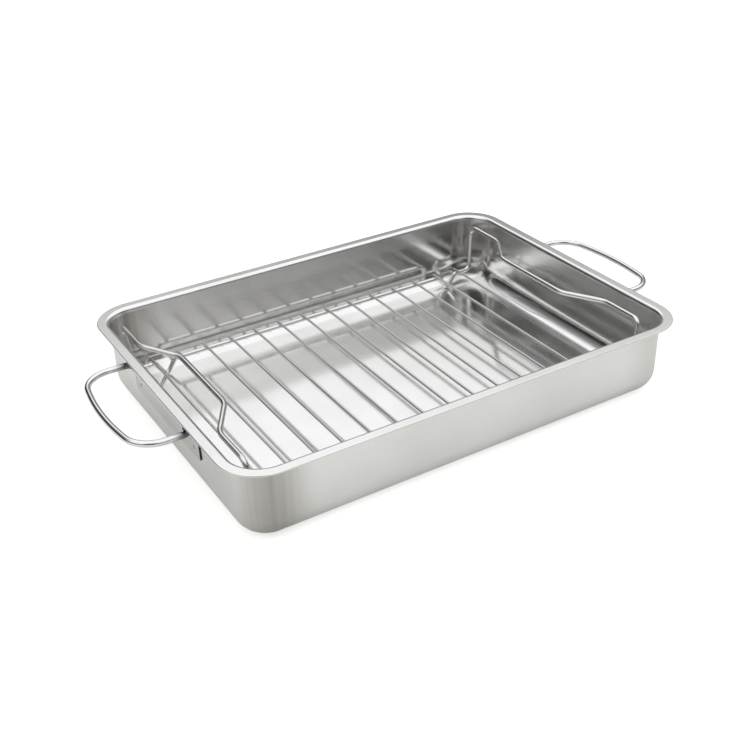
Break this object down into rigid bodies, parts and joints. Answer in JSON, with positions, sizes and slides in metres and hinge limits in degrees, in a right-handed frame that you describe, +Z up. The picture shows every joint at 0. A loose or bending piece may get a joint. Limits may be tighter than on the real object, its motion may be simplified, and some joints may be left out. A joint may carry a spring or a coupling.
{
  "type": "roasting pan with rack",
  "caption": "Rectangular stainless roasting pan with a flat rim, swinging wire bail handles at both ends and a lift-out wire rack with raised end handles.",
  "frame": {"origin": "middle of the pan's flat underside, on the surface that it stands on", "axes": "+X along the long side towards the right handle, +Y towards the far long side, +Z up; shown with both handles level and the rack in the pan"},
  "size_m": [0.4588, 0.275, 0.061],
  "materials": {
    "pan_steel": "fine satin sheet",
    "bracket_steel": "satin sheet",
    "handle_chrome": "polished wire",
    "rack_chrome": "polished wire"
  },
  "bodies": {
    "pan": {"pan_shell": "pan_steel", "handle_bracket_left": "bracket_steel", "handle_bracket_right": "bracket_steel"},
    "bail_left": {"bail_handle_left": "handle_chrome"},
    "bail_right": {"bail_handle_right": "handle_chrome"},
    "rack": {"rack_rail_rear": "rack_chrome", "rack_rail_front": "rack_chrome", "rack_end_handle_left": "rack_chrome", "rack_end_handle_right": "rack_chrome", "rack_cross_wire_01": "rack_chrome", "rack_cross_wire_02": "rack_chrome", "rack_cross_wire_03": "rack_chrome", "rack_cross_wire_04": "rack_chrome", "rack_cross_wire_05": "rack_chrome", "rack_cross_wire_06": "rack_chrome", "rack_cross_wire_07": "rack_chrome", "rack_cross_wire_08": "rack_chrome", "rack_cross_wire_09": "rack_chrome", "rack_cross_wire_10": "rack_chrome", "rack_cross_wire_11": "rack_chrome", "rack_cross_wire_12": "rack_chrome", "rack_cross_wire_13": "rack_chrome", "rack_cross_wire_14": "rack_chrome"}
  },
  "joints": [
    {"name": "bail_left_swing", "type": "hinge", "parent": "pan", "child": "bail_left", "pos_m": [-0.1843, 0, 0.0535], "axis": [0, 1, 0], "range_deg": [-86, 29]},
    {"name": "bail_right_swing", "type": "hinge", "parent": "pan", "child": "bail_right", "pos_m": [0.1843, 0, 0.0535], "axis": [0, -1, 0], "range_deg": [-86, 29]},
    {"name": "rack_lift", "type": "slide", "parent": "pan", "child": "rack", "axis": [0, 0, 1], "range_m": [0, 0.12]}
  ]
}
